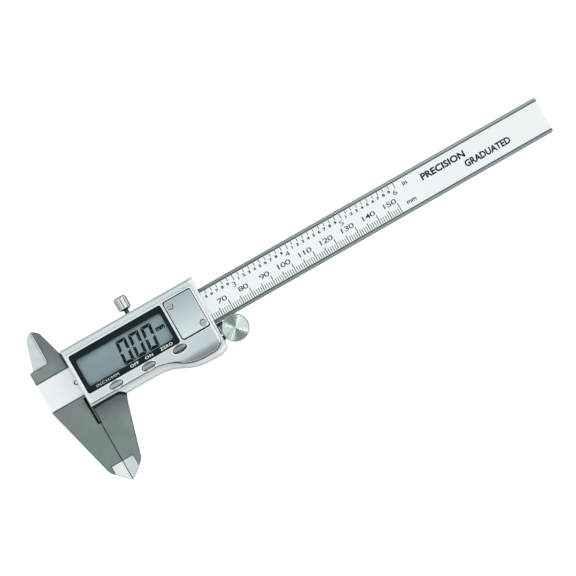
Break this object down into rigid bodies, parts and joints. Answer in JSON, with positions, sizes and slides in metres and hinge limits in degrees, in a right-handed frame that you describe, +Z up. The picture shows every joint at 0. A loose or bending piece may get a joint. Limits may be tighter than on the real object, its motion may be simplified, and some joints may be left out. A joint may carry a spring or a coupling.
{
  "type": "digital caliper",
  "caption": "Digital caliper for 0 to 150 mm: a graduated steel beam with fixed jaws and a sliding metal display unit with moving jaws, buttons, thumb roller, lock screw and depth rod.",
  "frame": {"origin": "middle of the footprint's bounding box, on the table that the closed caliper lies on", "axes": "+X along the beam from the jaws towards the tail, +Y across the beam towards the inside jaws and the lock screw, +Z up out of the display"},
  "size_m": [0.2366, 0.0732, 0.014],
  "materials": {
    "hardened_steel": "satin, fine ground",
    "satin_case": "satin chrome plating",
    "bright_steel": "turned, bright",
    "brass": "plain",
    "scale_film": "smooth pale film printed in black",
    "circuit_laminate": "solder mask",
    "black_plastic": "smooth moulded",
    "display_glass": "grey-green liquid crystal cell",
    "clear_window": "clear, polished",
    "button_plastic": "satin metallic grey",
    "zebra_rubber": "matt"
  },
  "bodies": {
    "beam": {"main_beam": "hardened_steel", "scale_circuit_strip": "circuit_laminate", "scale_overlay": "scale_film", "end_stop_plate": "bright_steel", "end_stop_screw_1": "bright_steel", "end_stop_screw_2": "bright_steel"},
    "slider": {"slider_frame": "hardened_steel", "gib_strip": "brass", "gib_set_screw_1": "bright_steel", "gib_set_screw_2": "bright_steel", "depth_rod": "bright_steel", "depth_rod_screw": "bright_steel", "lower_case": "satin_case", "case_screw_1": "bright_steel", "case_screw_2": "bright_steel", "case_screw_3": "bright_steel", "case_screw_4": "bright_steel", "front_cover": "satin_case", "cover_screw_1": "bright_steel", "cover_screw_2": "bright_steel", "rear_plate": "bright_steel", "circuit_board": "circuit_laminate", "board_screw_1": "bright_steel", "board_screw_2": "bright_steel", "board_screw_3": "bright_steel", "board_screw_4": "bright_steel", "controller_chip": "black_plastic", "dome_switch_1": "bright_steel", "dome_switch_2": "bright_steel", "dome_switch_3": "bright_steel", "lcd_panel": "display_glass", "upper_zebra_strip": "zebra_rubber", "lower_zebra_strip": "zebra_rubber", "display_window": "clear_window", "display_bezel": "black_plastic", "inner_chassis": "black_plastic", "button_cell": "bright_steel", "battery_contact_negative": "brass", "battery_contact_positive": "brass", "battery_cover": "satin_case", "battery_cover_screw_1": "bright_steel", "battery_cover_screw_2": "bright_steel", "roller_axle": "bright_steel", "roller_bracket": "bright_steel", "bracket_screw_1": "bright_steel", "bracket_screw_2": "bright_steel"},
    "units_key": {"button_units": "button_plastic"},
    "power_key": {"button_power": "button_plastic"},
    "zero_key": {"button_zero": "button_plastic"},
    "roller": {"thumb_roller": "bright_steel"},
    "pad": {"lock_pad": "brass"},
    "lock": {"lock_screw": "bright_steel"}
  },
  "joints": [
    {"name": "slider_travel", "type": "slide", "parent": "beam", "child": "slider", "axis": [1, 0, 0], "range_m": [0, 0.152]},
    {"name": "roller_spin", "type": "hinge", "parent": "slider", "child": "roller", "pos_m": [-0.0353, -0.00343, 0.004], "axis": [0, 0, 1], "range_deg": [0, 1640]},
    {"name": "units_press", "type": "slide", "parent": "slider", "child": "units_key", "axis": [0, 0, -1], "range_m": [0, 0.00035], "stiffness_N_per_m": 3000},
    {"name": "power_press", "type": "slide", "parent": "slider", "child": "power_key", "axis": [0, 0, -1], "range_m": [0, 0.00035], "stiffness_N_per_m": 3000},
    {"name": "zero_press", "type": "slide", "parent": "slider", "child": "zero_key", "axis": [0, 0, -1], "range_m": [0, 0.00035], "stiffness_N_per_m": 3000},
    {"name": "lock_advance", "type": "slide", "parent": "slider", "child": "pad", "axis": [0, 1, 0], "range_m": [0, 0.00045]},
    {"name": "lock_turn", "type": "hinge", "parent": "pad", "child": "lock", "pos_m": [-0.0709, 0.0219, 0.00405], "axis": [0, 1, 0], "range_deg": [0, 360]}
  ],
  "couplings": [
    {"joint": "roller_spin", "follows": "slider_travel", "rad_per_m": 187.6},
    {"joint": "lock_turn", "follows": "lock_advance", "rad_per_m": 13960}
  ]
}
